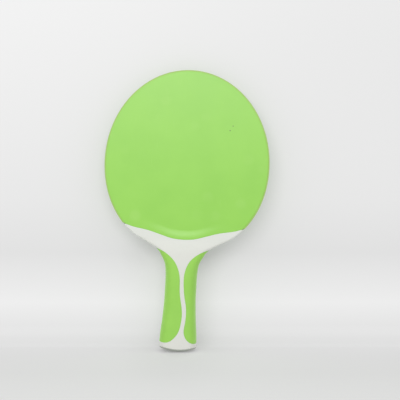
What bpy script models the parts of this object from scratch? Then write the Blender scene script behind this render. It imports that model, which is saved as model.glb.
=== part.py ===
"""A moulded table tennis racket, built as the separate pieces that it is assembled from.

The racket stands on end. +Z runs from the butt to the top of the head, +X to the right and -Y
towards the viewer, and the origin is at the lowest point of the butt. Both sides are alike: turned
half round the Z axis, the front rubber, sponge, shell and grip are the rear ones.
"""

from math import asin, cos, exp, hypot, pi, radians, sin, sqrt

import bmesh
import bpy
import numpy as np
from mathutils import Matrix

MM = 0.001

# The head, seen from the front: an upper half ellipse on a slightly fuller lower one.
TOTAL_LENGTH = 256.0 * MM
HEAD_WIDTH = 150.0 * MM
HEAD_UPPER = 85.2 * MM  # from the widest line up to the top
HEAD_LOWER = 81.3 * MM  # from the widest line down to where the lower curve would close
LOWER_FULLNESS = 2.09  # 2 would be a true ellipse

# Heights of the neck's features, as drops below the head's widest line.
SHOULDER_DROP = 65.0 * MM  # where the outline leaves the ellipse
THROAT_DROP = 79.9 * MM  # where the shoulder meets the neck
WAVE_DROP = 69.1 * MM  # lowest point of the wavy edge between the face and the shoulder

# The handle, seen from the front and from the side.
BUTT_WIDTH = 33.8 * MM
BUTT_DEPTH = 24.6 * MM
BUTT_WIDEST_Z = 9.2 * MM
WAIST_WIDTH = 28.6 * MM
WAIST_DEPTH = 22.4 * MM
WAIST_LOW = 0.549  # the waist's two ends, as shares of the throat's height
WAIST_HIGH = 0.7245
THROAT_WIDTH = 43.6 * MM
THROAT_DEPTH = 18.2 * MM
BUTT_RADIUS = 45.0 * MM  # of the shallow dome that closes the handle
BUTT_FILLET = 1.0 * MM

# Where the handle's outline bends between those widths: a share of the way up, and a share of the
# way from the lower width to the upper one.
BUTT_TO_WAIST = (0.5, 0.61)
WAIST_TO_THROAT = ((0.47, 0.12), (0.88, 0.76))
THROAT_TO_SHOULDER = (0.47, 0.43)

# How far in from the side each part of the handle starts to round off.
CORNER_RUN = 8.5 * MM
THROAT_CORNER_RUN = 5.7 * MM
SHOULDER_CORNER_RUN = 2.9 * MM
WING_CORNER_RUN = 1.5 * MM
LEAST_CORNER = 0.3 * MM  # of the hollows inside
CORNER_FULLNESS = 2.3

# How wide the neck's swelling is, as a share of the local half width.
WAIST_SPREAD = 3.0
THROAT_SPREAD = 1.2
SHOULDER_SPREAD = 0.7

# The layers of the head, from the middle outwards.
CORE_THICKNESS = 4.0 * MM
SPONGE_THICKNESS = 1.2 * MM
RUBBER_THICKNESS = 1.2 * MM
GAP = 0.3 * MM  # the glue line or seam between any two pieces
BAND_THICKNESS = 1.2 * MM
BAND_SETBACK = 0.6 * MM  # how far the rim band stays below the playing faces
BAND_ROUND = 0.7 * MM

# The step in the rubber above the shoulder.
RAMP_RISE = 0.9 * MM
RAMP_REACH = 41.0 * MM  # from the middle to where it has faded out
RAMP_RUN = 7.5 * MM
RAMP_TOE = 1.5 * MM  # the level strip between the ramp and the wavy edge

# Inside the handle.
GRIP_THICKNESS = 2.0 * MM
SHELL_WALL = 2.2 * MM
TANG_WIDTH = 18.0 * MM
TANG_END_Z = 12.0 * MM
TANG_CORNER = 4.0 * MM
CAVITY_TOP_DROP = 91.0 * MM
RIB_THICKNESS = 2.0 * MM
RIB_COUNT = 4
RIB_FIRST_Z = 14.5 * MM
PEG_RADIUS = 1.9 * MM
PEG_REACH = 6.0 * MM  # from the parting plane to the peg's tip
PEG_OFFSET = 5.0 * MM
BOSS_RADIUS = 3.6 * MM
CAP_THICKNESS = 1.2 * MM
SPIGOT_HEIGHT = 9.0 * MM
SPIGOT_WALL = 1.6 * MM
SPIGOT_FLOOR = 1.8 * MM

# The wavy edge: distance from the middle as a share of half the head's width, and height above its
# lowest point as a share of its whole rise.
WAVE_RISE = 12.6 * MM
WAVE_SHAPE = ((0, 0), (0.11, 0.04), (0.27, 0.29), (0.43, 0.57), (0.6, 0.75), (0.77, 1))

# The two edges of the S-shaped rib, from the throat down to the heel of each grip: distance from
# the middle in percent of half the waist's width, and height in percent of the grip's length.
LEFT_GRIP_EDGE = (
    (-130, 97.5), (-94, 93.9), (-51, 87.3), (-23.5, 78.9), (-10, 70.0), (-7, 59.4), (-1, 48.9),
    (10, 39.5), (16, 27.8), (11, 20.2), (0, 12.1), (-26, 5.3), (-56, 1.1), (-92, 0.0),
)
RIGHT_GRIP_EDGE = (
    (130, 97.5), (95, 94.1), (58, 88.6), (33, 81.0), (21, 72.3), (22, 60.6), (30, 49.5),
    (42, 39.5), (45, 27.8), (41, 20.2), (36, 12.1), (46, 6.2), (65, 2.3), (92, 0.0),
)
GRIP_HEEL_Z = 8.7 * MM
GRIP_TIP_RISE = 2.1 * MM  # of the grip's upper tip above the throat
GRIP_HEEL_RISE = 1.3 * MM  # of the lower edge as it goes round the side

# How finely curves are drawn.
HEAD_STEPS = 48
WAVE_STEPS = 32
EDGE_STEPS = 36
HANDLE_STEPS = 9  # from the butt up to the upper end of the waist
NECK_STEPS = 20  # from there up to the wing tips
ROD_SIDES = 20
RAMP_STEPS = 5
DOME_SHARES = (0.1, 0.5, 0.8)  # sizes of the rings on the butt's dome
DISH_STEPS = 24
FILLET_STEPS = 3
FLOOR_STEPS = 14

# How far cutters reach past what they cut, and how deep two halves run into each other.
OVERSIZE = 30.0 * MM
MARGIN = 5.0 * MM
OVERLAP = 0.02 * MM

# Values that follow from the sizes above.
HEAD_Z = TOTAL_LENGTH - HEAD_UPPER
SHOULDER_Z = HEAD_Z - SHOULDER_DROP
THROAT_Z = HEAD_Z - THROAT_DROP
WAVE_Z = HEAD_Z - WAVE_DROP
WAIST_LOW_Z = WAIST_LOW * THROAT_Z
WAIST_HIGH_Z = WAIST_HIGH * THROAT_Z
CAVITY_TOP_Z = HEAD_Z - CAVITY_TOP_DROP
GRIP_TIP_Z = THROAT_Z + GRIP_TIP_RISE
SPONGE_INNER = CORE_THICKNESS / 2 + GAP
RUBBER_INNER = SPONGE_INNER + SPONGE_THICKNESS + GAP
HEAD_HALF_DEPTH = RUBBER_INNER + RUBBER_THICKNESS
LAYER_INSET = BAND_THICKNESS + GAP
RECESS_INSET = GRIP_THICKNESS + GAP
CAVITY_INSET = RECESS_INSET + SHELL_WALL
TANG_INSET = CAVITY_INSET + GAP


def smooth_curve(points):
    """Returns a smooth function through (position, value) points that never overshoots them."""
    at, value = np.array(points, float).T
    span = np.diff(at)
    rise = np.diff(value) / span
    slope = np.zeros(len(at))
    for i in range(1, len(at) - 1):
        if rise[i - 1] * rise[i] > 0:
            slope[i] = 2 * rise[i - 1] * rise[i] / (rise[i - 1] + rise[i])

    def curve(position):
        p = min(max(position, at[0]), at[-1])
        i = min(int(np.searchsorted(at, p, side="right")) - 1, len(span) - 1)
        t = (p - at[i]) / span[i]
        start = value[i] * (1 + 2 * t) * (1 - t) ** 2 + slope[i] * span[i] * t * (1 - t) ** 2
        end = value[i + 1] * t * t * (3 - 2 * t) + slope[i + 1] * span[i] * t * t * (t - 1)
        return float(start + end)

    return curve


def smooth_path(knots, steps):
    """Returns evenly spaced points on a natural cubic spline through the knots in the XZ plane."""
    knots = np.array(knots, float)
    span = np.linalg.norm(np.diff(knots, axis=0), axis=1)
    along = np.concatenate(([0], np.cumsum(span)))
    bends = np.zeros((len(knots), len(knots)))
    pull = np.zeros_like(knots)
    bends[0, 0] = bends[-1, -1] = 1
    for i in range(1, len(knots) - 1):
        bends[i, i - 1 : i + 2] = span[i - 1], 2 * (span[i - 1] + span[i]), span[i]
        pull[i] = 6 * ((knots[i + 1] - knots[i]) / span[i] - (knots[i] - knots[i - 1]) / span[i - 1])
    curvature = np.linalg.solve(bends, pull)
    path = []
    for distance in np.linspace(0, along[-1], steps + 1):
        i = min(int(np.searchsorted(along, distance, side="right")) - 1, len(span) - 1)
        share = (distance - along[i]) / span[i]
        bow = ((1 - share) ** 3 - (1 - share)) * curvature[i] + (share**3 - share) * curvature[i + 1]
        path.append(tuple((1 - share) * knots[i] + share * knots[i + 1] + bow * span[i] ** 2 / 6))
    return path


def offset_path(path, distance):
    """Moves each point of a path sideways, to the left of the way the path runs."""
    way = np.gradient(np.array(path), axis=0)
    left = np.stack((-way[:, 1], way[:, 0]), axis=1)
    left /= np.linalg.norm(left, axis=1, keepdims=True)
    return [tuple(p) for p in np.array(path) + distance * left]


def head_half_width(z, inset=0.0):
    """Half the width of the head's outline at a height, drawn in by an inset."""
    rise = z - HEAD_Z
    reach, power = (HEAD_UPPER, 2.0) if rise > 0 else (HEAD_LOWER, LOWER_FULLNESS)
    share = min(1.0, abs(rise) / (reach - inset))
    return (HEAD_WIDTH / 2 - inset) * (1 - share**power) ** (1 / power)


def bend(low, high, shares):
    """A point between two (height, width) points, at its own share of the way for each."""
    return tuple(start + (end - start) * share for start, end, share in zip(low, high, shares))


def handle_outline():
    """Half the racket's width from the butt up past the point where the ellipse takes over."""
    butt = (BUTT_WIDEST_Z, BUTT_WIDTH / 2)
    waist_low = (WAIST_LOW_Z, WAIST_WIDTH / 2)
    waist_high = (WAIST_HIGH_Z, WAIST_WIDTH / 2)
    throat = (THROAT_Z, THROAT_WIDTH / 2)
    shoulder = (SHOULDER_Z, head_half_width(SHOULDER_Z))
    above = (SHOULDER_Z + MARGIN, head_half_width(SHOULDER_Z + MARGIN))
    neck = [bend(waist_high, throat, shares) for shares in WAIST_TO_THROAT]
    lower = [(0.0, BUTT_WIDTH / 2), butt, bend(butt, waist_low, BUTT_TO_WAIST), waist_low, waist_high]
    upper = [throat, bend(throat, shoulder, THROAT_TO_SHOULDER), shoulder, above]
    return smooth_curve(lower + neck + upper)


HANDLE_OUTLINE = handle_outline()
WAVE = smooth_curve([(x * HEAD_WIDTH / 2, WAVE_Z + rise * WAVE_RISE) for x, rise in WAVE_SHAPE])


def half_width(z):
    """Half the racket's width at a height."""
    return head_half_width(z) if z >= SHOULDER_Z else HANDLE_OUTLINE(z)


def rim_crossing(inset, lift):
    """The height at which the wavy edge, lifted a little, meets the head's inset outline."""
    low, high = SHOULDER_Z, HEAD_Z
    while high - low > 0.001 * MM:
        z = (low + high) / 2
        if WAVE(head_half_width(z, inset)) + lift > z:
            low = z
        else:
            high = z
    return high


WING_TIP_Z = rim_crossing(0.0, 0.0)
WING_TIP_X = head_half_width(WING_TIP_Z)
CENTRE_DEPTH = smooth_curve(
    [
        (0.0, BUTT_DEPTH / 2),
        (BUTT_WIDEST_Z, BUTT_DEPTH / 2),
        (WAIST_LOW_Z, WAIST_DEPTH / 2),
        (WAIST_HIGH_Z, WAIST_DEPTH / 2),
        (THROAT_Z, THROAT_DEPTH / 2),
        (WAVE_Z, HEAD_HALF_DEPTH + RAMP_RISE),
    ]
)
SPREAD = smooth_curve(
    [
        (WAIST_HIGH_Z, WAIST_SPREAD),
        (THROAT_Z, THROAT_SPREAD),
        (SHOULDER_Z, SHOULDER_SPREAD),
    ]
)
CORNER = smooth_curve(
    [
        (WAIST_HIGH_Z, CORNER_RUN),
        (THROAT_Z, THROAT_CORNER_RUN),
        (SHOULDER_Z, SHOULDER_CORNER_RUN),
        (WING_TIP_Z, WING_CORNER_RUN),
    ]
)


def ramp_rise(x):
    """How far the shoulder stands above the playing face, fading out towards the wings."""
    return RAMP_RISE * max(0.0, 1 - (x / RAMP_REACH) ** 2) ** 2


def half_depth(x, z):
    """Half the thickness of the handle and shoulder, before the sides are rounded off."""
    swell = CENTRE_DEPTH(z) - HEAD_HALF_DEPTH - RAMP_RISE
    spread = SPREAD(z) * half_width(z)
    return HEAD_HALF_DEPTH + ramp_rise(x) + swell * exp(-((x / spread) ** 2))


def section(z, inset, flat_steps=4, corner_steps=6):
    """One closed cross-section of the handle, drawn in by an inset, as (x, y) points."""
    width = half_width(z) - inset
    corner = max(CORNER(z) - inset / 2, LEAST_CORNER)
    flat = width - corner
    quarter = [(x, half_depth(x, z) - inset) for x in np.linspace(0, flat, flat_steps + 1)]
    for j in range(1, corner_steps + 1):
        turn = pi / 2 * j / corner_steps
        x = flat + corner * sin(turn) ** (2 / CORNER_FULLNESS)
        y = (half_depth(x, z) - inset) * cos(turn) ** (2 / CORNER_FULLNESS)
        quarter.append((x, y if j < corner_steps else 0.0))
    return (
        [(x, -y) for x, y in quarter]
        + [(x, y) for x, y in reversed(quarter[:-1])]
        + [(-x, y) for x, y in quarter[1:]]
        + [(-x, -y) for x, y in reversed(quarter[1:-1])]
    )


def dome(x, y):
    """Height of the butt's spherical underside."""
    return BUTT_RADIUS - sqrt(BUTT_RADIUS**2 - x * x - y * y)


def body_rings():
    """Sections of the whole handle and shoulder, from the dome of the butt to above the wave."""
    base = section(BUTT_WIDEST_Z, BUTT_FILLET)
    rings = [
        [(share * x, share * y, dome(share * x, share * y)) for x, y in base] for share in DOME_SHARES
    ]
    for turn in np.linspace(0, pi / 2, FILLET_STEPS + 1):
        points = section(BUTT_WIDEST_Z, BUTT_FILLET * (1 - sin(turn)))
        lift = BUTT_FILLET * (1 - cos(turn))
        rings.append([(x, y, dome(x, y) + lift) for x, y in points])
    handle = np.linspace(BUTT_WIDEST_Z, WAIST_HIGH_Z, HANDLE_STEPS + 1)
    neck = np.linspace(WAIST_HIGH_Z, WING_TIP_Z + MARGIN, NECK_STEPS + 1)[1:]
    for z in [*handle, *neck]:
        rings.append([(x, y, z) for x, y in section(z, 0.0)])
    return rings


def inner_rings(low, high, inset, steps, corner_steps=3):
    """Plain sections of the handle, drawn in by an inset, between two heights."""
    return [
        [(x, y, z) for x, y in section(z, inset, 2, corner_steps)]
        for z in np.linspace(low, high, steps + 1)
    ]


def head_arc(inset, end_z):
    """The head's outline from its left end over the top to its right end, at one inset."""
    wide, upper, lower = HEAD_WIDTH / 2 - inset, HEAD_UPPER - inset, HEAD_LOWER - inset
    end = asin(((HEAD_Z - end_z) / lower) ** (LOWER_FULLNESS / 2))
    power = 2 / LOWER_FULLNESS
    right = []
    for turn in np.linspace(0, pi / 2, HEAD_STEPS // 2 + 1):
        right.append((wide * sin(turn), HEAD_Z + upper * cos(turn)))
    for turn in np.linspace(0, end, HEAD_STEPS // 4 + 1)[1:]:
        right.append((wide * cos(turn) ** power, HEAD_Z - lower * sin(turn) ** power))
    return [(-x, z) for x, z in reversed(right[1:])] + right


def wave_points(half, lift):
    """The wavy edge from right to left, between plus and minus half, lifted a little."""
    return [(x, WAVE(abs(x)) + lift) for x in np.linspace(half, -half, WAVE_STEPS + 1)]


def layer_outline():
    """Outline of a rubber or sponge: the head inside the rim band, down to the wavy edge."""
    end_z = rim_crossing(LAYER_INSET, GAP)
    half = head_half_width(end_z, LAYER_INSET)
    return head_arc(LAYER_INSET, end_z) + wave_points(half, GAP)[1:-1]


def core_outline(clearance=0.0):
    """Outline of the blade core: the head inside the rim band, the hidden neck and the tang."""
    tip_inset = WING_TIP_X - head_half_width(WING_TIP_Z, LAYER_INSET)
    neck_inset = (tip_inset + TANG_INSET) / 2
    inset = smooth_curve([(THROAT_Z, TANG_INSET), (SHOULDER_Z, neck_inset), (WING_TIP_Z, tip_inset)])
    corner_z = TANG_END_Z + TANG_CORNER - clearance
    side = []
    for z in np.linspace(WING_TIP_Z, corner_z, NECK_STEPS + 1)[1:]:
        widest = TANG_WIDTH / 2 if z < WAIST_HIGH_Z else half_width(z)
        side.append((min(half_width(z) - inset(z), widest) + clearance, z))
    corner_x = side[-1][0] - TANG_CORNER
    for turn in np.linspace(0, pi / 2, FILLET_STEPS + 1)[1:]:
        side.append((corner_x + TANG_CORNER * cos(turn), corner_z - TANG_CORNER * sin(turn)))
    arc = head_arc(LAYER_INSET - clearance, WING_TIP_Z)
    return arc + side + [(-x, z) for x, z in reversed(side)]


def grip_edge(knots):
    """One edge of the S-shaped rib, run out past the outline at the throat and at the heel."""
    side = 1 if knots[0][0] > 0 else -1
    length = GRIP_TIP_Z - GRIP_HEEL_Z
    tip = (side * (half_width(GRIP_TIP_Z) + GAP), GRIP_TIP_Z)
    heel = (side * (half_width(GRIP_HEEL_Z) + MARGIN), GRIP_HEEL_Z + GRIP_HEEL_RISE)
    half = WAIST_WIDTH / 2
    middle = [(half * x / 100, GRIP_HEEL_Z + length * z / 100) for x, z in knots]
    return smooth_path([tip, *middle, heel], EDGE_STEPS)


def grip_outline(knots, clearance=0.0):
    """The region beside the rib that a grip fills, run out past the side of the handle."""
    side = 1 if knots[0][0] > 0 else -1
    edge = offset_path(grip_edge(knots), -side * clearance)
    far = side * (THROAT_WIDTH / 2 + OVERSIZE)
    return edge + [(far, edge[-1][1]), (far, edge[0][1])]


def collection(name):
    made = bpy.data.collections.new(name)
    bpy.context.scene.collection.children.link(made)
    return made


def linear(srgb):
    """An 8-bit sRGB colour as the linear values that a shader takes."""
    shares = [c / 255 for c in srgb]
    return [s / 12.92 if s <= 0.04045 else ((s + 0.055) / 1.055) ** 2.4 for s in shares]


def material(name, srgb, roughness, metallic=0.0):
    made = bpy.data.materials.new(name)
    made.use_nodes = True
    shader = made.node_tree.nodes["Principled BSDF"]
    shader.inputs["Base Color"].default_value = (*linear(srgb), 1.0)
    shader.inputs["Roughness"].default_value = roughness
    shader.inputs["Metallic"].default_value = metallic
    made.diffuse_color = (*linear(srgb), 1.0)
    return made


def mesh_object(name, mesh, home):
    made = bpy.data.objects.new(name, mesh)
    home.objects.link(made)
    if home is CUTTERS:
        made.hide_render = True
        made.display_type = "WIRE"
    return made


def loft(name, rings):
    """Skins a closed body over rings of equal count, with closed ends."""
    bm = bmesh.new()
    rows = [[bm.verts.new(point) for point in ring] for ring in rings]
    count = len(rows[0])
    for lower, upper in zip(rows, rows[1:]):
        for i in range(count):
            k = (i + 1) % count
            bm.faces.new((lower[i], lower[k], upper[k], upper[i]))
    bm.faces.new(rows[0])
    bm.faces.new(rows[-1])
    bmesh.ops.recalc_face_normals(bm, faces=bm.faces)
    mesh = bpy.data.meshes.new(name)
    bm.to_mesh(mesh)
    bm.free()
    return mesh_object(name, mesh, CUTTERS)


def plate(name, outline, front, back, home=None):
    """A flat outline in the XZ plane, filled and extruded between two distances along Y."""
    curve = bpy.data.curves.new(name, "CURVE")
    curve.dimensions = "2D"
    curve.fill_mode = "BOTH"
    curve.extrude = (back - front) / 2
    spline = curve.splines.new("POLY")
    spline.points.add(len(outline) - 1)
    for point, (x, z) in zip(spline.points, outline):
        point.co = (x, z, 0, 1)
    spline.use_cyclic_u = True
    drawn = bpy.data.objects.new(name + "_outline", curve)
    bpy.context.scene.collection.objects.link(drawn)
    middle = Matrix.Translation((0, (front + back) / 2, 0))
    drawn.matrix_world = middle @ Matrix.Rotation(pi / 2, 4, "X")
    made = solid_from(drawn, name, home or CUTTERS)
    bpy.data.objects.remove(drawn)
    return made


def solid_from(source, name, home):
    """A new object from what an object evaluates to, in world space, with its seams welded."""
    bpy.context.view_layer.update()
    evaluated = source.evaluated_get(bpy.context.evaluated_depsgraph_get())
    mesh = bpy.data.meshes.new_from_object(evaluated)
    mesh.transform(source.matrix_world)
    bm = bmesh.new()
    bm.from_mesh(mesh)
    bmesh.ops.remove_doubles(bm, verts=bm.verts, dist=0.001 * MM)
    bmesh.ops.recalc_face_normals(bm, faces=bm.faces)
    bm.to_mesh(mesh)
    bm.free()
    return mesh_object(name, mesh, home)


def rod(name, x, z, radius, front, back):
    """A round cutter or boss along Y."""
    bm = bmesh.new()
    place = Matrix.Translation((x, (front + back) / 2, z)) @ Matrix.Rotation(pi / 2, 4, "X")
    size = {"radius1": radius, "radius2": radius, "depth": back - front}
    bmesh.ops.create_cone(bm, cap_ends=True, segments=ROD_SIDES, matrix=place, **size)
    mesh = bpy.data.meshes.new(name)
    bm.to_mesh(mesh)
    bm.free()
    return mesh_object(name, mesh, CUTTERS)


def block(name, low, high):
    """A box between two corners."""
    bm = bmesh.new()
    size = [end - start for start, end in zip(low, high)]
    middle = [(start + end) / 2 for start, end in zip(low, high)]
    place = Matrix.Translation(middle) @ Matrix.Diagonal((*size, 1))
    bmesh.ops.create_cube(bm, size=1.0, matrix=place)
    mesh = bpy.data.meshes.new(name)
    bm.to_mesh(mesh)
    bm.free()
    return mesh_object(name, mesh, CUTTERS)


def dish(name, lift):
    """A round block under the butt whose hollow top follows the dome, lifted a little."""
    reach = hypot(BUTT_WIDTH, BUTT_DEPTH) / 2 + GAP
    profile = [(x, 0, dome(x, 0) + lift) for x in np.linspace(0, reach, DISH_STEPS // 4 + 1)]
    profile += [(reach, 0, -OVERSIZE), (0, 0, -OVERSIZE)]
    mesh = bpy.data.meshes.new(name)
    mesh.from_pydata(profile, [(i, i + 1) for i in range(len(profile) - 1)], [])
    drawn = mesh_object(name + "_profile", mesh, CUTTERS)
    screw = drawn.modifiers.new("Turn", "SCREW")
    screw.steps = screw.render_steps = DISH_STEPS
    screw.use_merge_vertices = True
    screw.merge_threshold = 0.00001
    made = solid_from(drawn, name, CUTTERS)
    bpy.data.objects.remove(drawn)
    return made


def combine(target, tool, operation="DIFFERENCE"):
    modifier = target.modifiers.new(f"{operation.title()} {tool.name}", "BOOLEAN")
    modifier.operation = operation
    modifier.solver = "EXACT"
    modifier.object = tool
    return target


def finished(source, name, home=None):
    """Turns an object and its modifiers into one plain mesh under a new name."""
    made = solid_from(source, name, home or CUTTERS)
    bpy.data.objects.remove(source)
    return made


def named_part(obj, coat, smooth_angle=35.0):
    obj.data.materials.clear()
    obj.data.materials.append(coat)
    obj.data.shade_smooth()
    obj.data.set_sharp_from_angle(angle=radians(smooth_angle))
    return obj


def turned_copy(source, name):
    """The same piece on the other side of the racket, turned half round the Z axis."""
    made = bpy.data.objects.new(name, source.data)
    made.rotation_euler.z = pi
    PARTS.objects.link(made)
    return made


def ramp_tool():
    """Everything in front of the rubber's face: flat, then stepping up towards the wavy edge."""
    top = TOTAL_LENGTH + OVERSIZE
    far = -(HEAD_HALF_DEPTH + OVERSIZE)
    side = HEAD_WIDTH / 2 + MARGIN
    rings = []
    for x in np.linspace(-side, side, WAVE_STEPS + 1):
        wave = WAVE(abs(x))
        ring = [(-HEAD_HALF_DEPTH, top)]
        for share in np.linspace(0, 1, RAMP_STEPS + 1):
            climb = share * share * (3 - 2 * share)
            z = wave + RAMP_TOE + RAMP_RUN * (1 - share)
            ring.append((-(HEAD_HALF_DEPTH + ramp_rise(x) * climb), z))
        ring += [(ring[-1][0], wave - MARGIN), (far, wave - MARGIN), (far, top)]
        rings.append([(x, y, z) for y, z in ring])
    return loft("ramp_tool", rings)


def make_rubbers(coat):
    """The playing faces: thin sheets with a thickened toe that meets the shoulder flush."""
    front = -(HEAD_HALF_DEPTH + RAMP_RISE + MARGIN)
    blank = plate("rubber_blank", layer_outline(), front, -RUBBER_INNER)
    combine(blank, ramp_tool())
    rubber = named_part(finished(blank, "front_rubber", PARTS), coat, 20)
    turned_copy(rubber, "rear_rubber")


def make_sponges(coat):
    back = -SPONGE_INNER
    sponge = plate("front_sponge", layer_outline(), back - SPONGE_THICKNESS, back, PARTS)
    turned_copy(named_part(sponge, coat), "rear_sponge")


def make_core(coat):
    half = CORE_THICKNESS / 2
    core = plate("blade_core", core_outline(), -half, half, PARTS)
    for z in PEG_HEIGHTS:
        for side in (-1, 1):
            combine(core, rod("peg_hole", side * PEG_OFFSET, z, PEG_RADIUS + GAP, -2 * half, 2 * half))
    named_part(core, coat)


def make_rim_band(coat):
    """A rounded strip round the edge of the head, from wing tip to wing tip."""
    outer = head_arc(0.0, rim_crossing(0.0, GAP))
    inner = head_arc(BAND_THICKNESS, rim_crossing(BAND_THICKNESS, GAP))
    half = HEAD_HALF_DEPTH - BAND_SETBACK
    band = plate("rim_band", outer + inner[::-1], -half, half, PARTS)
    rounding = band.modifiers.new("Round", "BEVEL")
    rounding.width = min(BAND_ROUND, BAND_THICKNESS / 2.5)
    rounding.segments = 2
    rounding.limit_method = "ANGLE"
    rounding.angle_limit = radians(50)
    named_part(band, coat)


# The ribs that clamp the tang are evenly spaced up the cavity, with pegs midway between the first
# two and between the last two.
RIBS = np.linspace(RIB_FIRST_Z, CAVITY_TOP_Z, RIB_COUNT, endpoint=False).tolist()
PEG_HEIGHTS = [(RIBS[0] + RIBS[1]) / 2, (RIBS[-2] + RIBS[-1]) / 2]


def shell_cells():
    """The hollows of the handle, one between each two ribs, the lowest open at the butt."""
    floors = [-MARGIN] + [z + RIB_THICKNESS / 2 for z in RIBS]
    ceilings = [z - RIB_THICKNESS / 2 for z in RIBS] + [CAVITY_TOP_Z]
    return [
        loft(f"cell_{i}", inner_rings(low, high, CAVITY_INSET, 2))
        for i, (low, high) in enumerate(zip(floors, ceilings))
    ]


def grip_recess(name, knots):
    """What is cut from a shell to seat a grip: the grip's region outside the recess floor."""
    front = -(BUTT_DEPTH / 2 + OVERSIZE)
    recess = plate(name, grip_outline(knots, GAP), front, MARGIN)
    floor = loft(name + "_floor", inner_rings(0.0, GRIP_TIP_Z + MARGIN, RECESS_INSET, FLOOR_STEPS))
    return finished(combine(recess, floor), name + "_cut")


def make_shells(coat):
    """Two alike half shells: the white wings, neck, rib and butt, hollow and ribbed inside."""
    shell = loft("shell_blank", body_rings())
    reach = HEAD_WIDTH
    combine(shell, block("rear_half", (-reach, -GAP / 2, -reach), (reach, reach, 2 * reach)))
    side = HEAD_WIDTH / 2
    wave_top = [(-side, WING_TIP_Z + OVERSIZE), (side, WING_TIP_Z + OVERSIZE)]
    combine(shell, plate("above_wave", wave_points(side, 0.0) + wave_top, -reach, reach))
    combine(shell, dish("cap_seat", CAP_THICKNESS + GAP))
    combine(shell, grip_recess("left_recess", LEFT_GRIP_EDGE))
    combine(shell, grip_recess("right_recess", RIGHT_GRIP_EDGE))
    for cell in shell_cells():
        combine(shell, cell)
    seat = -SPONGE_INNER
    root = -(WAIST_DEPTH / 2 - CAVITY_INSET + SHELL_WALL / 2)
    for z in PEG_HEIGHTS:
        for side in (-1, 1):
            combine(shell, rod("boss", side * PEG_OFFSET, z, BOSS_RADIUS, root, -GAP), "UNION")
    combine(shell, plate("core_pocket", core_outline(GAP), seat, reach))
    for z in PEG_HEIGHTS:
        combine(shell, rod("peg", PEG_OFFSET, z, PEG_RADIUS, root, PEG_REACH), "UNION")
        combine(shell, rod("socket", -PEG_OFFSET, z, PEG_RADIUS + GAP, -PEG_REACH - GAP, reach))
    front = named_part(finished(shell, "front_handle_shell", PARTS), coat)
    turned_copy(front, "rear_handle_shell")


def make_grips(coat):
    """Two alike soft grips that wrap round the sides of the handle beside the rib."""
    depth = BUTT_DEPTH / 2 + OVERSIZE
    grip = plate("grip_blank", grip_outline(LEFT_GRIP_EDGE), -depth, OVERLAP)
    behind = [(-x, z) for x, z in grip_outline(RIGHT_GRIP_EDGE)]
    combine(grip, plate("grip_behind", behind, -OVERLAP, depth), "UNION")
    combine(grip, loft("grip_outside", body_rings()), "INTERSECT")
    floor = inner_rings(0.0, GRIP_TIP_Z + MARGIN, GRIP_THICKNESS, FLOOR_STEPS)
    combine(grip, loft("grip_inside", floor))
    left = named_part(finished(grip, "left_grip_insert", PARTS), coat)
    turned_copy(left, "right_grip_insert")


def make_cap(coat):
    """The domed plate that closes the butt, with a hollow spigot inside the shells."""
    tool = dish("cap_plate", CAP_THICKNESS)
    inset = CAVITY_INSET + GAP
    spigot = inner_rings(-OVERSIZE, SPIGOT_HEIGHT, inset, 4)
    combine(tool, loft("spigot", spigot), "UNION")
    floor_z = CAP_THICKNESS + SPIGOT_FLOOR
    hollow = inner_rings(floor_z, SPIGOT_HEIGHT + MARGIN, inset + SPIGOT_WALL, 3)
    combine(tool, loft("spigot_hollow", hollow))
    cap = loft("cap_blank", body_rings())
    combine(cap, finished(tool, "cap_tool"), "INTERSECT")
    named_part(finished(cap, "butt_cap", PARTS), coat)


for old in list(bpy.data.objects):
    bpy.data.objects.remove(old)
PARTS = collection("table_tennis_racket")
CUTTERS = collection("cutters")

make_core(material("blade_composite", (92, 88, 80), 0.6))
make_sponges(material("sponge", (196, 214, 150), 0.9))
make_rubbers(material("green_rubber", (160, 215, 106), 0.5))
make_rim_band(material("rim_green", (150, 198, 98), 0.55))
make_shells(material("white_shell", (226, 228, 222), 0.42))
make_grips(material("grip_green", (152, 208, 94), 0.6))
make_cap(material("cap_grey", (128, 133, 126), 0.5))
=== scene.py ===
# %% [markdown]
# A moulded table tennis racket, dressed for its picture. The racket's solids come ready made in
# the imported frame, with every piece at its real size and place. This lesson gives each piece the
# surface that it has on the real racket, sets a sheet of pale paper behind it, lights it softly
# and puts the camera at the photograph's point of view.

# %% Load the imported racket
from math import acos, cos, degrees, hypot, pi, radians, sin

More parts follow.
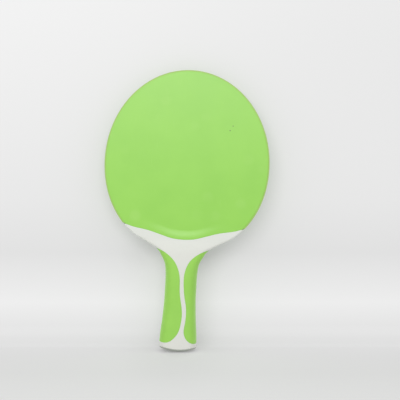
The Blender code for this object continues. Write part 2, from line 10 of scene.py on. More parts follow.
import bmesh
import bpy
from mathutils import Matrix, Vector


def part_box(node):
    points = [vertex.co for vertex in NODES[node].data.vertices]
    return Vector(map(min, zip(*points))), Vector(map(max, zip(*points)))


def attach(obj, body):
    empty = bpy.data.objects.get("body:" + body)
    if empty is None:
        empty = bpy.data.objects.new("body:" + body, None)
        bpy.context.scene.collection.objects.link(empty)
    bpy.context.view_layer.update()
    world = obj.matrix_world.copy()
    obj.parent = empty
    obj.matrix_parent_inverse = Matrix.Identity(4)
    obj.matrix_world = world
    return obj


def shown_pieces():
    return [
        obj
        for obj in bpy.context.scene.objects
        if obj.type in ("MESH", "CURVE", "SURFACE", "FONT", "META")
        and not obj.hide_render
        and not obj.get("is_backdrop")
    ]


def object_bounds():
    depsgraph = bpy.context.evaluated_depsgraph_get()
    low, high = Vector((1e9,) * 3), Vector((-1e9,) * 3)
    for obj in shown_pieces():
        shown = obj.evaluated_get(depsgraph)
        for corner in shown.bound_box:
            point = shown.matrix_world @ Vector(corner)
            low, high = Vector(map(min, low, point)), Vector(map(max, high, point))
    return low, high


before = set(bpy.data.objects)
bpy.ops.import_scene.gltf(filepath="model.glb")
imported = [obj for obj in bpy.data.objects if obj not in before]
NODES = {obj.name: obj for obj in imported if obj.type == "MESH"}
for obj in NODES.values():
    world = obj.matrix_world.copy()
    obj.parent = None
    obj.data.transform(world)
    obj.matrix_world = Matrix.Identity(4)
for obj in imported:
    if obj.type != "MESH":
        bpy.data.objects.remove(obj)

MM = 0.001
CAD_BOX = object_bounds()
print("pieces:", ", ".join(sorted(NODES)))

# %% [markdown]
# A Blender material is a web of nodes, and a web is hard to read as a picture. It reads better as
# sums. A Wire below stands for the output of one node, and adding, subtracting or multiplying
# wires adds the Math nodes that do it, so that 1 - mask means what it says.

# %% Shader sums as Python expressions
class Wire:
    """The output of one shader node. Sums with wires add Math nodes to the same web."""

    def __init__(self, graph, socket):
        self.graph = graph
        self.socket = socket

    def math(self, operation, first, second):
        return self.graph.node("Math", {"operation": operation}, {0: first, 1: second})

    def __add__(self, other):
        return self.math("ADD", self, other)

    def __sub__(self, other):
        return self.math("SUBTRACT", self, other)

    def __rsub__(self, other):
        return self.math("SUBTRACT", other, self)

    def __mul__(self, other):
        return self.math("MULTIPLY", self, other)

    def __abs__(self):
        return self.graph.node("Math", {"operation": "ABSOLUTE"}, {0: self})

    __radd__ = __add__
    __rmul__ = __mul__


print("wires can be added, subtracted, multiplied and made positive")

# %% [markdown]
# All other nodes come from one method, which takes the node's type, its settings and what goes
# into its sockets. The settings come first, because some of them change which sockets a node has.
# Three kinds are used so often that they get a short name: blend mixes two colours, ramp gives a
# colour for each value, and fade is a smooth step from 0 to 1.

# %% The web of nodes
class Graph:
    """The node web of one material or of the world."""

    def __init__(self, tree):
        self.tree = tree
        self.tree.nodes.clear()

    def plug(self, socket, value):
        """Links a wire to a socket, or sets the socket to a number, colour or vector."""
        if isinstance(value, Wire):
            self.tree.links.new(value.socket, socket)
        elif socket.type == "RGBA":
            socket.default_value = (*value, 1.0)
        else:
            socket.default_value = value

    def put_stops(self, elements, stops):
        """Gives a new colour ramp its stops. It has two to begin with."""
        for i, (at, colour) in enumerate(stops):
            stop = elements[i] if i < 2 else elements.new(at)
            stop.position = at
            stop.color = (*colour, 1.0)

    def node(self, kind, settings, sockets, output=0):
        """Adds a node, settings first, then its sockets, and returns a wire from one output."""
        made = self.tree.nodes.new("ShaderNode" + kind)
        for name, value in settings.items():
            if name == "stops":
                self.put_stops(made.color_ramp.elements, value)
            else:
                setattr(made, name, value)
        for name, value in sockets.items():
            self.plug(made.inputs[name], value)
        return Wire(self, made.outputs[output]) if made.outputs else made

    def blend(self, factor, first, second):
        """Mixes two colours: the first where the factor is 0, the second where it is 1."""
        # A Mix node has sockets for every kind of value. Those for colours are 6 and 7 in, 2 out.
        return self.node("Mix", {"data_type": "RGBA"}, {0: factor, 6: first, 7: second}, 2)

    def ramp(self, value, stops):
        """A colour for each of some values, and an even change between them."""
        low, high = stops[0][0], stops[-1][0]
        share = (value - low) * (1 / (high - low))
        shares = [((place - low) / (high - low), colour) for place, colour in stops]
        return self.node("ValToRGB", {"stops": shares}, {"Fac": share}, "Color")

    def fade(self, value, start, end):
        """0 up to start, 1 from end on, and a smooth change between the two."""
        sockets = {"Value": value, "From Min": start, "From Max": end}
        return self.node("MapRange", {"interpolation_type": "SMOOTHSTEP"}, sockets)


print("nodes with a short name: blend, ramp, fade")

# %% [markdown]
# Colours are easier to read off a photograph as 8-bit numbers from 0 to 255, but a shader wants
# light as it adds up, which is a curve away from those numbers. One small function turns the
# first kind into the second, and all the racket's colours go through it.

# %% Colours read off as 8-bit numbers
def shade(red, green, blue):
    """An 8-bit sRGB colour as the linear light values that a shader takes."""
    shares = [c / 255 for c in (red, green, blue)]
    return tuple(s / 12.92 if s <= 0.04045 else ((s + 0.055) / 1.055) ** 2.4 for s in shares)


print("a middle grey as light:", [round(c, 3) for c in shade(128, 128, 128)])

# %% [markdown]
# Every finish here starts the same way. One Principled shader does the surface, the point that is
# being coloured is known in metres from the butt, and random spots of a chosen size give the
# small unevenness that no real surface is without. The Finish class below holds those three, so
# that each finish that follows has only its own recipe. Random spots hover about a half, so a fade
# between two shares near that picks out patches, and higher shares leave fewer and smaller ones.
# The relief also rounds the edges a little in the shading, as no moulded edge is truly sharp.

# %% The start of every finish
EDGE_ROUND = 0.25 * MM
EDGE_SAMPLES = 4


class Finish(Graph):
    """A material under construction, with its Principled shader and the point in metres."""

    def __init__(self, name):
        self.material = bpy.data.materials.new(name)
        self.material.use_nodes = True
        super().__init__(self.material.node_tree)
        self.shader = self.node("BsdfPrincipled", {}, {})
        self.inputs = self.shader.socket.node.inputs
        self.surface = self.node("OutputMaterial", {}, {"Surface": self.shader}).inputs["Surface"]
        self.point = self.node("TexCoord", {}, {}, "Object")

    def along(self, axis):
        """How far the point lies along X, Y or Z."""
        return self.node("SeparateXYZ", {}, {"Vector": self.point}, axis)

    def scaled(self, sizes):
        """The point counted in steps of a size along X, Y and Z."""
        steps = [1 / size for size in sizes]
        return self.node("VectorMath", {"operation": "MULTIPLY"}, {0: self.point, 1: steps})

    def spots(self, size, detail=2.0, stretch=1.0):
        """Random spots from 0 to 1 of about a size, drawn out along Z by the stretch."""
        place = self.scaled((size, size, size * stretch))
        return self.node("TexNoise", {}, {"Vector": place, "Scale": 1.0, "Detail": detail}, "Fac")

    def patches(self, size, start, end, detail=2.0, stretch=1.0):
        """Random soft-edged patches, where the spots pass from a share of start to one of end."""
        return self.fade(self.spots(size, detail, stretch), start, end)

    def cells(self, size):
        """Distance from the middle of random cells of about a size, in shares of that size."""
        place = self.scaled((size, size, size))
        return self.node("TexVoronoi", {}, {"Vector": place, "Scale": 1.0}, "Distance")

    def relief(self, height, depth):
        """Gives the surface a relief of a real depth over edges that are slightly rounded."""
        edges = self.node("Bevel", {"samples": EDGE_SAMPLES}, {"Radius": EDGE_ROUND}, "Normal")
        sockets = {"Height": height, "Distance": depth, "Strength": 1.0, "Normal": edges}
        self.plug(self.inputs["Normal"], self.node("Bump", {}, sockets, "Normal"))

    def set(self, **values):
        """Fills sockets of the shader, named with _ for each space."""
        for name, value in values.items():
            socket = name.replace("_", " ").title().replace("Ior", "IOR")
            self.plug(self.inputs[socket], value)


print("each finish starts from a Principled shader and the point in metres")

# %% [markdown]
# The playing face is a sheet of smooth rubber. It looks even from a step away, but new rubber has
# a very fine skin, balls leave faint round marks of dust, and hands and table edges scuff it.
# These marks could be painted in an image, but random spots of real sizes need no file, fit both
# faces and stay sharp close by. Their contrast is low, since a strong pattern would read as stone.
# The two specks that the photograph shows are dust caught on the front, so their places are listed.

# %% Rubber of the playing faces
RUBBER_GREEN = shade(147, 211, 75)
RUBBER_DEEP = shade(136, 202, 66)
RUBBER_WORN = shade(165, 217, 104)
DUST = shade(72, 84, 52)
RUBBER_SKIN = 0.45 * MM
RUBBER_CLOUD = 34 * MM
BALL_MARK = 21 * MM
PLAYED_PATCH = 60 * MM
SCUFF_WIDTH = 1.3 * MM
SCUFF_STRETCH = 14.0
SCUFFED_PATCH = 26 * MM
RUBBER_RELIEF = 0.05 * MM
RUBBER_ROUGHNESS = 0.33
RUBBER_SHINE = 0.7
# The place of each speck across and up the face, and its radius.
SPECKS = ((37.5 * MM, 202.9 * MM, 0.75 * MM), (40.0 * MM, 207.1 * MM, 0.65 * MM))
SPECK_CORE = 0.4
FRONT_FROM = -1 * MM


def speck(f, x, z, radius):
    """1 at a place on the front face, fading to 0 at a radius from it."""
    flat = f.node("CombineXYZ", {}, {"X": f.along("X"), "Z": f.along("Z")})
    gap = f.node("VectorMath", {"operation": "DISTANCE"}, {0: (x, 0.0, z), 1: flat}, "Value")
    on_front = f.fade(f.along("Y"), 0.0, FRONT_FROM)
    return f.fade(gap, radius, radius * SPECK_CORE) * on_front


def playing_rubber():
    f = Finish("playing_rubber")
    skin = f.spots(RUBBER_SKIN, detail=1.0)
    clouds = f.spots(RUBBER_CLOUD, detail=3.0)
    played = f.patches(PLAYED_PATCH, start=0.45, end=0.65)
    ball_marks = played * f.fade(f.cells(BALL_MARK), start=0.34, end=0.12)
    scuffed = f.patches(SCUFFED_PATCH, start=0.5, end=0.62)
    scuffs = scuffed * f.patches(SCUFF_WIDTH, start=0.66, end=0.74, stretch=SCUFF_STRETCH)
    green = f.blend(0.45 * f.fade(clouds, start=0.7, end=0.3), RUBBER_GREEN, RUBBER_DEEP)
    green = f.blend(0.3 * ball_marks + 0.22 * scuffs, green, RUBBER_WORN)
    for x, z, radius in SPECKS:
        green = f.blend(0.8 * speck(f, x, z, radius), green, DUST)
    f.relief(skin + 0.6 * clouds, RUBBER_RELIEF)
    f.set(base_color=green, roughness=RUBBER_ROUGHNESS + 0.05 * clouds + 0.06 * ball_marks)
    f.set(specular_ior_level=RUBBER_SHINE)
    return f.material


RUBBER = playing_rubber()
print("playing rubber:", len(RUBBER.node_tree.nodes), "nodes")

# %% [markdown]
# The rim band is a thin moulded strip that guards the edge of the blade. It meets tables and
# floors first, so the flat middle of its width is rubbed paler in places, and fine nicks run all
# over it. Wear is often found from the sharp edges of a mesh, but here it lies between them, so
# the distance from the band's middle line says where it is rubbed.

# %% Plastic of the rim band
RIM_OLIVE = shade(169, 202, 111)
RIM_PALE = shade(182, 212, 138)
RIM_GRAIN = 0.5 * MM
RIM_NICK = 1.6 * MM
RIM_WEAR = 7 * MM
RIM_WORN_TO = 3.4 * MM
RIM_MOST_WORN_TO = 1.5 * MM
RIM_RELIEF = 0.04 * MM
RIM_ROUGHNESS = 0.46
SATIN_SHINE = 0.4


def rim_plastic():
    f = Finish("rim_plastic")
    nicks = f.patches(RIM_NICK, start=0.62, end=0.72, detail=3.0)
    outermost = f.fade(abs(f.along("Y")), RIM_WORN_TO, RIM_MOST_WORN_TO)
    made_paler = outermost * f.patches(RIM_WEAR, start=0.4, end=0.75)
    colour = f.blend(0.45 * made_paler + 0.25 * nicks, RIM_OLIVE, RIM_PALE)
    f.relief(f.spots(RIM_GRAIN) - 1.5 * nicks, RIM_RELIEF)
    f.set(base_color=colour, roughness=RIM_ROUGHNESS + 0.16 * made_paler)
    f.set(specular_ior_level=SATIN_SHINE)
    return f.material


RIM = rim_plastic()
print("rim plastic:", len(RIM.node_tree.nodes), "nodes")

# %% [markdown]
# The wings, neck and rib are one moulding of white plastic. The mould was etched with a fine
# texture, so the plastic has a satin look instead of a shine, and handling leaves the faintest
# clouding. Between the grips, the light that bounces off them makes the white look greener, and
# the photograph shows it a touch darker there. A lamp could make up for that, but it would change
# the grips too, so shade is painted into the colour: the white is slightly darker and less green
# between the grips.

# %% White plastic of the shells
SHELL_WHITE = shade(224, 227, 220)
# Painted shade: a slightly darker, less green white between the grips.
SHELL_PAINTED_SHADE_AT_GRIPS = shade(220, 221, 214)
SHELL_HANDLED = shade(190, 190, 182)
SHELL_SHADE_FROM = 112 * MM
SHELL_SHADE_WHOLLY_FROM = 84 * MM
SHELL_ETCHING = 0.35 * MM
SHELL_CLOUD = 22 * MM
SHELL_TOUCH = 5 * MM
SHELL_RELIEF = 0.035 * MM
SHELL_ROUGHNESS = 0.52
SHELL_SHINE = 0.35


def white_plastic():
    f = Finish("white_plastic")
    etched = f.spots(SHELL_ETCHING, detail=1.0)
    clouds = f.spots(SHELL_CLOUD, detail=3.0)
    handled = f.patches(SHELL_TOUCH, start=0.58, end=0.72, detail=4.0)
    # Painted shade between the grips, from the neck down.
    painted_shade_at_grips = f.fade(f.along("Z"), SHELL_SHADE_FROM, SHELL_SHADE_WHOLLY_FROM)
    white = f.blend(painted_shade_at_grips, SHELL_WHITE, SHELL_PAINTED_SHADE_AT_GRIPS)
    white = f.blend(0.05 * handled + 0.05 * clouds, white, SHELL_HANDLED)
    f.relief(etched + 0.8 * clouds, SHELL_RELIEF)
    f.set(base_color=white, roughness=SHELL_ROUGHNESS + 0.08 * clouds + 0.05 * handled)
    f.set(specular_ior_level=SHELL_SHINE)
    return f.material


SHELL = white_plastic()
print("white plastic:", len(SHELL.node_tree.nodes), "nodes")

# %% [markdown]
# The grips are a soft rubbery plastic that is moulded into the handle's recesses. It has a
# grainy skin with hardly any shine and a slight bloom at a glancing angle, which is what sheen
# is for. Its green isn't quite even, and hands polish it a little in places. The grains could be
# real faces, but at half a millimetre that takes a great many, so a relief in the shading does it.

# %% Soft plastic of the grips
GRIP_GREEN = shade(154, 212, 89)
GRIP_DEEP = shade(141, 201, 78)
GRIP_GRAIN = 0.55 * MM
GRIP_CLOUD = 14 * MM
GRIP_TOUCH = 9 * MM
GRIP_TOUCH_STRETCH = 2.0
GRIP_RELIEF = 0.06 * MM
GRIP_ROUGHNESS = 0.62
GRIP_BLOOM = 0.12
GRIP_BLOOM_SPREAD = 0.45


def soft_grip():
    f = Finish("soft_grip")
    grain = f.cells(GRIP_GRAIN)
    clouds = f.spots(GRIP_CLOUD, detail=3.0)
    polished = f.patches(GRIP_TOUCH, start=0.42, end=0.7, stretch=GRIP_TOUCH_STRETCH)
    green = f.blend(0.4 * f.fade(clouds, start=0.75, end=0.3), GRIP_GREEN, GRIP_DEEP)
    f.relief(grain + 0.5 * clouds, GRIP_RELIEF)
    f.set(base_color=green, roughness=GRIP_ROUGHNESS - 0.08 * polished)
    f.set(specular_ior_level=SATIN_SHINE)
    f.set(sheen_weight=GRIP_BLOOM, sheen_roughness=GRIP_BLOOM_SPREAD)
    return f.material


GRIP = soft_grip()
print("soft grip:", len(GRIP.node_tree.nodes), "nodes")

# %% [markdown]
# The open end of the moulded handle is closed by a thin domed cap, coloured a darker grey than the
# shell, which shows in the photograph as a fine dark line along the bottom. It is what the racket
# stands on, so its underside is scratched, and painted light makes its edge a little paler towards
# the sides. Both places could be painted by hand, but the height above the floor and the distance
# from the middle already say where they are.

# %% Plastic of the butt cap
CAP_GREY = shade(164, 170, 160)
# Paler for the scratches and for the painted light towards the cap's sides.
CAP_SCUFFS_AND_PAINTED_LIGHT = shade(196, 198, 190)
CAP_GRAIN = 0.35 * MM
SCRATCH_LENGTH = 0.9 * MM
SCRATCH_FLATNESS = 0.15
UNDERSIDE_TO = 2.2 * MM
UNDERSIDE_WHOLLY_TO = 0.4 * MM
# Painted light: from here out towards its sides the cap is paler.
CAP_PAINTED_LIGHT_FROM = 7 * MM
CAP_MOST_PAINTED_LIGHT_FROM = 17 * MM
CAP_RELIEF = 0.04 * MM
CAP_ROUGHNESS = 0.45


def cap_plastic():
    f = Finish("cap_plastic")
    scratches = f.patches(SCRATCH_LENGTH, start=0.6, end=0.7, stretch=SCRATCH_FLATNESS)
    underside = f.fade(f.along("Z"), UNDERSIDE_TO, UNDERSIDE_WHOLLY_TO)
    # Painted light, paler towards the cap's sides.
    made_paler = f.fade(abs(f.along("X")), CAP_PAINTED_LIGHT_FROM, CAP_MOST_PAINTED_LIGHT_FROM)
    scratched = scratches * underside
    grey = f.blend(0.35 * scratched + 0.5 * made_paler, CAP_GREY, CAP_SCUFFS_AND_PAINTED_LIGHT)
    f.relief(f.spots(CAP_GRAIN, detail=1.0) - scratched, CAP_RELIEF)
    f.set(base_color=grey, roughness=CAP_ROUGHNESS + 0.15 * underside)
    f.set(specular_ior_level=SATIN_SHINE)
    return f.material


CAP = cap_plastic()
print("cap plastic:", len(CAP.node_tree.nodes), "nodes")

# %% [markdown]
# The blade core and the foam lie behind the rubbers and the rim band and hardly show. A plain
# colour would do for the picture, but they get a finish of their own for whoever takes the racket
# apart: the core is a pressed plate with short pale fibres in a dark resin, and the foam is full
# of tiny cells.

# %% Core and foam
CORE_GREY = shade(92, 88, 80)
FIBRE_PALE = shade(150, 144, 130)
FIBRE_WIDTH = 0.8 * MM
FIBRE_STRETCH = 9.0
CORE_RELIEF = 0.04 * MM
CORE_ROUGHNESS = 0.58
FOAM_GREEN = shade(196, 214, 150)
# Painted shade: each cell of the foam is darker towards its middle, as a pore in shade.
PORE_PAINTED_SHADE = shade(150, 168, 104)
PORE = 0.6 * MM
FOAM_RELIEF = 0.12 * MM
FOAM_ROUGHNESS = 0.9


def fibre_plate():
    f = Finish("fibre_plate")
    fibres = f.patches(FIBRE_WIDTH, start=0.56, end=0.66, detail=3.0, stretch=FIBRE_STRETCH)
    colour = f.blend(0.5 * fibres, CORE_GREY, FIBRE_PALE)
    f.relief(fibres, CORE_RELIEF)
    f.set(base_color=colour, roughness=CORE_ROUGHNESS - 0.12 * fibres)
    return f.material


def fine_foam():
    f = Finish("fine_foam")
    pores = f.cells(PORE)
    colour = f.blend(f.fade(pores, start=0.45, end=0.1), FOAM_GREEN, PORE_PAINTED_SHADE)
    f.relief(pores, FOAM_RELIEF)
    f.set(base_color=colour, roughness=FOAM_ROUGHNESS - 0.05 * pores)
    return f.material


CORE = fibre_plate()
SPONGE = fine_foam()
print("core and foam:", len(CORE.node_tree.nodes), "and", len(SPONGE.node_tree.nodes), "nodes")

# %% [markdown]
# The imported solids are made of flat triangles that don't share their corners, so smooth shading
# alone can't run across them. Welding the corners lets Blender shade them as one round surface,
# and splitting again only where two faces meet at a real edge keeps the edges of the mouldings
# crisp. The mesh could be rebuilt that way once and for all, but as modifiers both steps leave
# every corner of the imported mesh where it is.

# %% Dress every piece
FINISHES = {
    "front_rubber": RUBBER,
    "rear_rubber": RUBBER,
    "rim_band": RIM,
    "front_handle_shell": SHELL,
    "rear_handle_shell": SHELL,
    "left_grip_insert": GRIP,
    "right_grip_insert": GRIP,
    "butt_cap": CAP,
    "blade_core": CORE,
    "front_sponge": SPONGE,
    "rear_sponge": SPONGE,
}
SAME_CORNER = 0.001 * MM
EDGE_ANGLE = radians(32)


def dress(piece, finish):
    """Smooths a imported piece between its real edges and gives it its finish."""
    normals = piece.data.attributes.get("custom_normal")
    if normals:
        piece.data.attributes.remove(normals)
    piece.data.shade_smooth()
    weld = piece.modifiers.new("Join corners", "WELD")
    weld.merge_threshold = SAME_CORNER
    split = piece.modifiers.new("Keep real edges", "EDGE_SPLIT")
    split.split_angle = EDGE_ANGLE
    even = piece.modifiers.new("Even shading", "WEIGHTED_NORMAL")
    even.keep_sharp = True
    for slot in piece.material_slots:
        slot.material = finish


for name, finish in FINISHES.items():
    dress(NODES[name], finish)
print("dressed:", len(FINISHES), "of", len(NODES), "pieces")

# %% [markdown]
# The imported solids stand 0.3 mm apart. On the real racket those lines are closed: the grips are
# moulded into the handle and the rubbers are glued against the rim, so white meets green without
# a dark line between. Bigger pieces would close the lines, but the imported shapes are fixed, so a
# narrow ribbon closes each of them. Its course is found from the piece itself, along every edge
# where its outer surface turns into its wall. A face counts as outer if it faces outward within
# 60 degrees, and as a wall if it turns well away from that.

# %% Find a seam's course
OUTER_FACING = 0.5
WALL_FACING = 0.6


def welded(piece):
    """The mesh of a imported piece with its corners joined."""
    bm = bmesh.new()
    bm.from_mesh(piece.data)
    bmesh.ops.remove_doubles(bm, verts=bm.verts, dist=SAME_CORNER)
    bm.normal_update()
    return bm


def seam_edges(bm, outward):
    """Edges between the outer surface and a wall, with the normals of both."""
    for edge in bm.edges:
        if len(edge.link_faces) != 2:
            continue
        out = outward((edge.verts[0].co + edge.verts[1].co) / 2)
        faces = sorted(edge.link_faces, key=lambda face: face.normal.dot(out))
        wall, outer = (face.normal for face in faces)
        if outer.dot(out) > OUTER_FACING and wall.dot(outer) < WALL_FACING:
            yield edge, outer, wall


def seam_course(bm, outward):
    """The seam as pairs of corners, and for each corner the ways out of surface and wall."""
    pairs, outers, walls = [], {}, {}
    for edge, outer, wall in seam_edges(bm, outward):
        pairs.append(edge.verts)
        for vert in edge.verts:
            outers[vert] = outers.get(vert, Vector()) + outer
            walls[vert] = walls.get(vert, Vector()) + wall
    return pairs, {vert: (outers[vert].normalized(), walls[vert].normalized()) for vert in outers}


print("a seam runs where two faces turn by over", round(degrees(acos(WALL_FACING))), "degrees")

# %% [markdown]
# A ribbon starts just inside its piece's wall, ends just past the seam, and lies a hair under the
# surface, so that it fills the gap without standing proud. The rim band lies lower than the
# rubbers, so their ribbons also step down onto it. Each ribbon rides with the racket and takes
# the finish that it is given.

# %% Make a ribbon
SEAM = 0.3 * MM
SEAM_SINK = 0.05 * MM
SEAM_LAP = 0.03 * MM
RIM_STEP = 0.8 * MM
RIM_STEP_OUT = 0.12 * MM
# Each point of a profile is how far out it lies from the wall, and how deep under the surface.
LEVEL = ((-SEAM_LAP, SEAM_SINK), (SEAM + SEAM_LAP, SEAM_SINK))
STEPPED = (*LEVEL, (SEAM + RIM_STEP_OUT, RIM_STEP))


def add_object(name, data):
    """Puts a mesh, a lamp or a camera into the scene."""
    made = bpy.data.objects.new(name, data)
    bpy.context.scene.collection.objects.link(made)
    return made


def ribbon_mesh(name, solid, outward, profile):
    """A strip of faces along a seam, with the profile across it."""
    pairs, ways = seam_course(solid, outward)
    bm = bmesh.new()
    rows = {}
    for vert, (outer, wall) in ways.items():
        rows[vert] = [bm.verts.new(vert.co + out * wall - deep * outer) for out, deep in profile]
    for first, second in pairs:
        for i in range(len(profile) - 1):
            bm.faces.new((*rows[first][i : i + 2], *reversed(rows[second][i : i + 2])))
    bmesh.ops.recalc_face_normals(bm, faces=bm.faces)
    mesh = bpy.data.meshes.new(name)
    bm.to_mesh(mesh)
    bm.free()
    return mesh


def seam_ribbon(name, piece, outward, profile, finish, slot):
    """A ribbon that closes the seam round a piece."""
    solid = welded(piece)
    mesh = ribbon_mesh(name, solid, outward, profile)
    solid.free()
    mesh.materials.append(finish)
    made = add_object(name, mesh)
    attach(made, "root")
    return made


print("ribbons reach", round((SEAM + SEAM_LAP) / MM, 2), "mm out from the wall")

# %% [markdown]
# The search for a seam needs to know which way is outward. On a rubber that is straight to the
# front or to the rear, and on a grip it is straight away from the handle's long axis. The butt
# cap also has a spigot inside the handle, so for the cap only its outermost tenth counts.

# %% Close the seams
CAP_OUTSIDE = 0.9
CAP_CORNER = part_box("butt_cap")[1]


def to_front(point):
    """Straight to the front, wherever the point lies."""
    return Vector((0.0, -1.0, 0.0))


def to_rear(point):
    """Straight to the rear, wherever the point lies."""
    return Vector((0.0, 1.0, 0.0))


def away_from_axis(point):
    """Straight out from the handle's long axis."""
    return Vector((point.x, point.y, 0.0)).normalized()


def out_at_butt(point):
    """The same at the outside of the butt cap, and nothing at its hidden spigot."""
    outside = hypot(point.x / CAP_CORNER[0], point.y / CAP_CORNER[1]) > CAP_OUTSIDE
    return away_from_axis(point) if outside else Vector()


SEAMS = (
    ("front_rubber", to_front, STEPPED, RUBBER, "green_rubber"),
    ("rear_rubber", to_rear, STEPPED, RUBBER, "green_rubber"),
    ("left_grip_insert", away_from_axis, LEVEL, GRIP, "grip_green"),
    ("right_grip_insert", away_from_axis, LEVEL, GRIP, "grip_green"),
    ("butt_cap", out_at_butt, LEVEL, SHELL, "white_shell"),
)
for name, outward, profile, finish, slot in SEAMS:
    ribbon = seam_ribbon(name + "_seam", NODES[name], outward, profile, finish, slot)
    print(ribbon.name, "faces:", len(ribbon.data.polygons))

# %% [markdown]
# In the photograph the racket leans back against white paper that curves from a floor up into a
# wall. Two flat sheets would show the line where they meet, and a curved one gives a plain ground
# with only the racket's own soft shadow on it. Here the racket stands upright in its frame, so
# the paper leans forward instead and comes close to the top of the head. It is also turned by the
# racket's small roll to the right, which makes it level in the picture. The curve starts only
# behind the butt, so that the racket stands on flat paper.

# %% A curved sheet of paper
LEAN = radians(3.0)
PAPER_TILT = radians(5.0)
SHEET_FLOOR = 0.0
WALL_AT_FLOOR = 32 * MM
SHEET_CURVE = 18 * MM
SHEET_REACH = 5.0
WALL_HEIGHT = 1.6
CURVE_STEPS = 24


def sheet_profile():
    """Points (y, z) from the front of the floor through the curve to the top of the wall."""
    points = [(-SHEET_REACH, SHEET_FLOOR)]
    full_turn = pi / 2 + PAPER_TILT
    middle_y = WALL_AT_FLOOR - SHEET_CURVE
    middle_z = SHEET_FLOOR + SHEET_CURVE
    for i in range(CURVE_STEPS + 1):
        turn = full_turn * i / CURVE_STEPS
        points.append((middle_y + SHEET_CURVE * sin(turn), middle_z - SHEET_CURVE * cos(turn)))
    last_y, last_z = points[-1]
    points.append((last_y - WALL_HEIGHT * sin(PAPER_TILT), last_z + WALL_HEIGHT * cos(PAPER_TILT)))
    return points


def paper_sheet():
    """The profile drawn out to both sides and turned by the racket's lean."""
    bm = bmesh.new()
    rows = []
    for y, z in sheet_profile():
        rows.append([bm.verts.new((x, y, z)) for x in (-SHEET_REACH, SHEET_REACH)])
    for near, far in zip(rows, rows[1:]):
        bm.faces.new((near[0], near[1], far[1], far[0]))
    mesh = bpy.data.meshes.new("paper_sheet")
    bm.to_mesh(mesh)
    bm.free()
    mesh.shade_smooth()
    made = add_object("paper_sheet", mesh)
    made.rotation_euler.y = -LEAN
    return made


PAPER = paper_sheet()
PAPER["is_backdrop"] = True
print("paper:", len(PAPER.data.polygons), "faces, facing", tuple(PAPER.data.polygons[0].normal))

# %% [markdown]
# The photograph's paper isn't one even tone, and that light and shade is painted into the paper's
# colour: it is a little darker above and below a bright line behind the handle, and a little darker
# at the top right. Lamps could draw such tones, but they would light the racket too. A ramp gives
# them along the sheet, from the front of its floor to the top of its wall, and two fades paint the
# shade at the top right.

# %% The paper's tone
# Painted light and shade along the paper.
# Each is a place along the sheet in mm, as floor and wall added up, and its grey level.
PAPER_TONES_WITH_PAINTED_LIGHT = (
    (-189, 236.5), (-112, 235), (-40, 238), (13, 242), (29, 228),
    (36, 226.5), (71, 240.8), (114, 227.4), (159, 233), (320, 240),
)
# Painted shade at the top right of the paper.
TOP_RIGHT_PAINTED_SHADE = 0.05
TOP_RIGHT_SHADE_ACROSS = (-200 * MM, 200 * MM)
TOP_RIGHT_SHADE_UP = (120 * MM, 320 * MM)
BLACK = (0.0, 0.0, 0.0)


def paper_tone_with_painted_light(f):
    """The paper's colour along the sheet with its painted light and shade, and painted shade to the
    top right.
    """
    stops = [(place * MM, shade(level, level, level)) for place, level in PAPER_TONES_WITH_PAINTED_LIGHT]
    tone = f.ramp(f.along("Y") + f.along("Z"), stops)
    across = f.fade(f.along("X"), *TOP_RIGHT_SHADE_ACROSS)
    up = f.fade(f.along("Z"), *TOP_RIGHT_SHADE_UP)
    return f.blend(TOP_RIGHT_PAINTED_SHADE * across * up, tone, BLACK)


print("paper tones:", len(PAPER_TONES_WITH_PAINTED_LIGHT), "stops")

# %% [markdown]
# A part of the paper's brightness is its own glow, which keeps the racket's shadow on it as light
# as the photograph's. More light from all round could do that, but it would flatten the racket
# as well. Where the racket is close to the paper, it would keep some of such light off, so the
# paper glows less there: at the butt, on the floor in front of it and beside the neck. Each of
# these places is a soft round spot.

# %% The paper's own glow near the racket
PAPER_GLOW = 0.4
# Each is a middle and half sizes in mm, and the share of the glow that is left in the middle.
SHADE_SPOTS = (
    ((0, 0, 0), (21, 44, 15), 0.56),
    ((0, 0, 0), (60, 220, 30), 0.86),
    ((20, 25, 86), (35, 60, 25), 0.82),
    ((-34, 25, 88), (26, 60, 22), 0.9),
)


def from_middle(f, middle, half_sizes):
    """How far a point lies from the middle of a spot, 1 at its rim. Both sizes are in mm."""
    at = [c * MM for c in middle]
    shares = [1 / (size * MM) for size in half_sizes]
    gap = f.node("VectorMath", {"operation": "SUBTRACT"}, {0: f.point, 1: at})
    gap = f.node("VectorMath", {"operation": "MULTIPLY"}, {0: gap, 1: shares})
    return f.node("VectorMath", {"operation": "LENGTH"}, {0: gap}, "Value")


def unshaded(f):
    """The share of the paper's own glow that is left near the racket, 1 away from it."""
    left = 1.0
    for middle, half_sizes, least in SHADE_SPOTS:
        left = left * (least + (1 - least) * f.fade(from_middle(f, middle, half_sizes), 0.0, 1.0))
    return left


print("shade spots:", len(SHADE_SPOTS))

# %% [markdown]
# The paper is there for the camera and for the racket's shadow. Light from behind the sheet should
# still reach the back of the racket, and the camera should see the racket's back from behind the
# sheet. So the paper shows only to rays that look at its front, and lets all others pass.

# %% Paper that shows from the front only
def looking_rays(graph):
    """1 for rays from the camera, a mirror or glass, and 0 for those that only gather light."""
    kinds = ("Camera", "Glossy", "Transmission")
    camera, glossy, glass = (graph.node("LightPath", {}, {}, f"Is {kind} Ray") for kind in kinds)
    return camera + glossy + glass


def paper_finish():
    f = Finish("paper")
    tone = paper_tone_with_painted_light(f)
    lit = f.blend(1 - PAPER_GLOW, BLACK, tone)
    f.set(base_color=lit, roughness=1.0, specular_ior_level=0.0)
    f.set(emission_color=f.blend(unshaded(f), BLACK, tone), emission_strength=PAPER_GLOW)
    from_behind = f.node("NewGeometry", {}, {}, "Backfacing")
    shown = looking_rays(f) * (1 - from_behind)
    clear = f.node("BsdfTransparent", {}, {})
    f.plug(f.surface, f.node("MixShader", {}, {0: shown, 1: clear, 2: f.shader}))
    return f.material


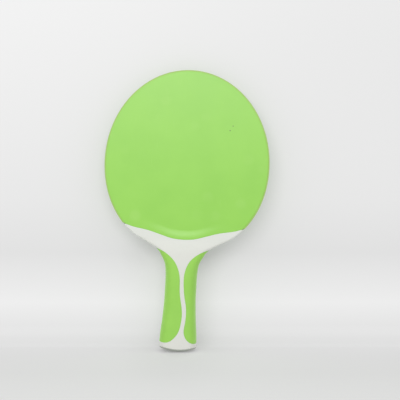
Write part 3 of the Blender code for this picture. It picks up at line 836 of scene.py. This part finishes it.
PAPER.data.materials.append(paper_finish())
print("paper finish: shown to camera, mirror and glass rays that look at its front")

# %% [markdown]
# The light is that of a small photo studio: one wide soft lamp above the camera and slightly to
# the left, low enough for the smooth rubber to mirror a little of it at the top of the head,
# which is paler in the photograph. A lamp under the floor stands for the light that white paper
# throws up at the undersides of the wings and of the rim, and two lamps behind light the
# racket's back for other views. The levels are set so that a surface facing the camera shows
# about the colour it was given.

# %% Soft lamps
def lamp(name, place, target, size, power):
    """A soft lamp, so wide and so high, that looks at a target."""
    light = bpy.data.lights.new(name, "AREA")
    light.energy = power
    light.shape = "RECTANGLE"
    light.size, light.size_y = size
    made = add_object(name, light)
    made.location = place
    made.rotation_mode = "QUATERNION"
    made.rotation_quaternion = (target - made.location).to_track_quat("-Z", "Y")
    return made


MIDDLE = (CAD_BOX[0] + CAD_BOX[1]) / 2
OVER_BUTT = Vector((0.0, 0.0, MIDDLE.z))
KEY = lamp("key_lamp", place=(-0.18, -1.20, 0.56), target=MIDDLE, size=(1.1, 0.3), power=6.6)
LEFT_REAR = lamp("left_rear_lamp", place=(-0.8, 0.9, 0.7), target=MIDDLE, size=(0.7, 0.7), power=8.0)
RIGHT_REAR = lamp("right_rear_lamp", place=(0.8, 0.9, 0.5), target=MIDDLE, size=(0.7, 0.7), power=6.0)
UNDER = lamp("under_lamp", place=(0.0, 0.10, -0.35), target=OVER_BUTT, size=(0.5, 0.12), power=1.0)
LAMPS = (KEY, LEFT_REAR, RIGHT_REAR, UNDER)
print("lamps:", [round(made.data.energy, 1) for made in LAMPS], "watts")

# %% [markdown]
# The three helper lamps light the racket only, and their light stops there, so that neither they
# nor the green of the racket's back show on the paper. The lamp under the floor leaves out the
# cap too, because the cap stands on the paper and no light gets under it.

# %% What the helper lamps light
def light_only(lamps, name, pieces):
    """Makes lamps light some pieces and nothing else, with no light thrown on from them."""
    lit = bpy.data.collections.new(name)
    for piece in pieces:
        lit.objects.link(piece)
    for helper in lamps:
        helper.light_linking.receiver_collection = lit
        helper.data.cycles.max_bounces = 0


PIECES = list(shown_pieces())
OFF_THE_PAPER = [piece for piece in PIECES if piece.name != "butt_cap"]
light_only((LEFT_REAR, RIGHT_REAR), "lit_from_behind", PIECES)
light_only((UNDER,), "lit_from_below", OFF_THE_PAPER)
print("lit from behind:", len(PIECES), "pieces, from below:", len(OFF_THE_PAPER))

# %% [markdown]
# Pale surroundings fill the shadows. A picture of a studio could do it, but two fades need no
# file and can be set one by one: a room's light comes more from above than from below, and here
# more from the front than from the rear, where the paper would stand in its way. The camera
# itself sees an even pale ground where it looks past the paper.

# %% Pale surroundings
SKY = 0.76
GROUND = 0.62
SKY_RISE = (-0.6, 0.8)
REAR_SHARE = 0.45
REAR_FALL = (-0.1, 0.3)
BACKGROUND = 0.80
WHITE = (1.0, 1.0, 1.0)


def surroundings():
    """Light from all round, brighter above and in front, and a pale ground for the camera."""
    world = bpy.data.worlds.new("studio")
    world.use_nodes = True
    g = Graph(world.node_tree)
    way = g.node("TexCoord", {}, {}, "Generated")
    height = g.node("SeparateXYZ", {}, {"Vector": way}, "Z")
    depth = g.node("SeparateXYZ", {}, {"Vector": way}, "Y")
    strength = GROUND + (SKY - GROUND) * g.fade(height, *SKY_RISE)
    strength = strength * (1 - (1 - REAR_SHARE) * g.fade(depth, *REAR_FALL))
    room = g.node("Background", {}, {"Color": WHITE, "Strength": strength})
    seen = g.node("Background", {}, {"Color": WHITE, "Strength": BACKGROUND})
    mixed = g.node("MixShader", {}, {0: looking_rays(g), 1: room, 2: seen})
    g.node("OutputWorld", {}, {"Surface": mixed})
    return world


bpy.context.scene.world = surroundings()
print("surroundings:", GROUND, "from below to", SKY, "from above")

# %% [markdown]
# The camera looks straight at the face from a little under a metre with a portrait lens. The
# photograph is square, with the racket left of its middle and leaning right, so the camera aims
# at the point of the racket's plane that lies in the middle of the picture, and rolls by the lean.
# The head's width in the photograph gives the size of a pixel on that plane.

# %% The photograph's view
LENS = 85.0
SENSOR = 36.0
NEAREST_SEEN = 0.05
PICTURE = 400
HEAD_PIXEL = (187.06, 163.74)
HEAD_MIDDLE = 170.8 * MM
HEAD_WIDTH = 150 * MM
HEAD_WIDTH_PIXELS = 165.2
PIXEL = HEAD_WIDTH / HEAD_WIDTH_PIXELS
FACE_Y = -5.0 * MM


def aim_point():
    """Where the middle of the picture falls on the racket, from the head's place in it."""
    right = PICTURE / 2 - HEAD_PIXEL[0]
    down = PICTURE / 2 - HEAD_PIXEL[1]
    x = (right * cos(LEAN) + down * sin(LEAN)) * PIXEL
    z = HEAD_MIDDLE + (right * sin(LEAN) - down * cos(LEAN)) * PIXEL
    return x, z


def camera():
    """A camera straight before the aim point, as far off as its lens needs."""
    x, z = aim_point()
    distance = PICTURE / 2 * PIXEL / (SENSOR / 2 / LENS)
    view = bpy.data.cameras.new("camera")
    view.lens = LENS
    view.sensor_width = SENSOR
    view.clip_start = NEAREST_SEEN
    made = add_object("camera", view)
    made.location = (x, FACE_Y - distance, z)
    made.rotation_euler = (pi / 2, -LEAN, 0.0)
    return made


CAMERA = camera()
bpy.context.scene.camera = CAMERA
bpy.context.scene.view_settings.view_transform = "Standard"
print("camera at", [round(c, 3) for c in CAMERA.location])
